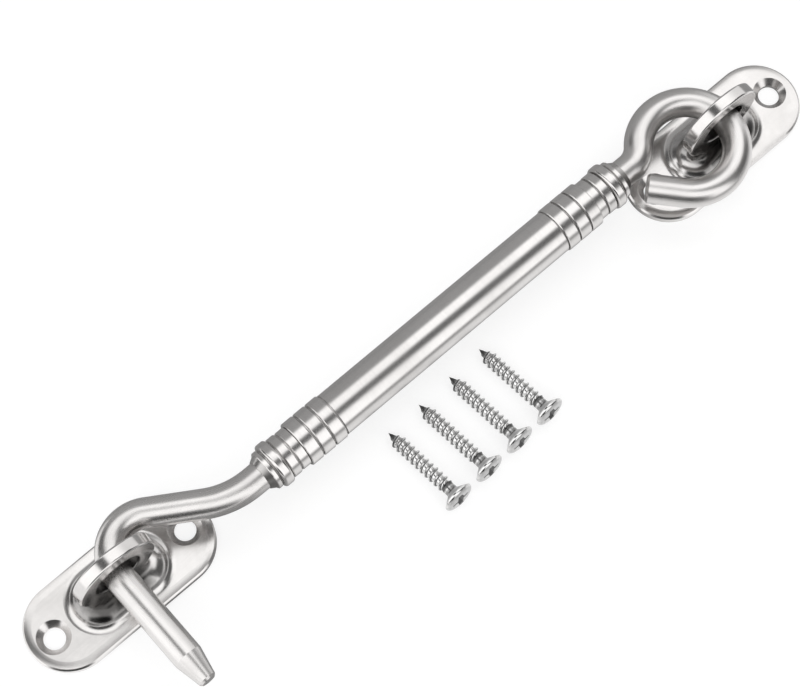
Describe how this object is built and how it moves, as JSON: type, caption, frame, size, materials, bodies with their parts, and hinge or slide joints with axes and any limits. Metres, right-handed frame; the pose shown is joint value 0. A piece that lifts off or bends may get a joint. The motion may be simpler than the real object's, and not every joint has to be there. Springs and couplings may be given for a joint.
{
  "type": "hook and eye latch",
  "caption": "Cabin hook latch: a turned grip with a looped end linked to a wall eye plate and a bent, tapered leg that drops through a catch eye plate, with its loose wood screws.",
  "frame": {"origin": "midway between the wall plate's two screw holes, on the plate's back face", "axes": "+X along the hook from the catch plate to the wall plate, +Y away from the leg's tip, +Z out of the wall"},
  "size_m": [0.193, 0.041, 0.0214],
  "materials": {
    "polished_plate": "polished pressed stainless steel",
    "polished_eye": "polished stainless steel",
    "brushed_grip": "turned and brushed stainless steel",
    "satin_rod": "satin stainless steel bar",
    "screw_steel": "bright stainless steel"
  },
  "bodies": {
    "plates": {"wall_plate": "polished_plate", "wall_eye": "polished_eye", "catch_plate": "polished_plate", "catch_eye": "polished_eye", "mounting_screws": "screw_steel"},
    "hook": {"grip_tube": "brushed_grip", "wall_ferrule": "brushed_grip", "catch_ferrule": "brushed_grip", "loop_rod": "satin_rod", "hook_rod": "satin_rod"}
  },
  "joints": [
    {"name": "hook_swing", "type": "hinge", "parent": "plates", "child": "hook", "pos_m": [-0.00851, 0, 0.01142], "axis": [0, 0, -1], "range_deg": [0, 135]}
  ]
}
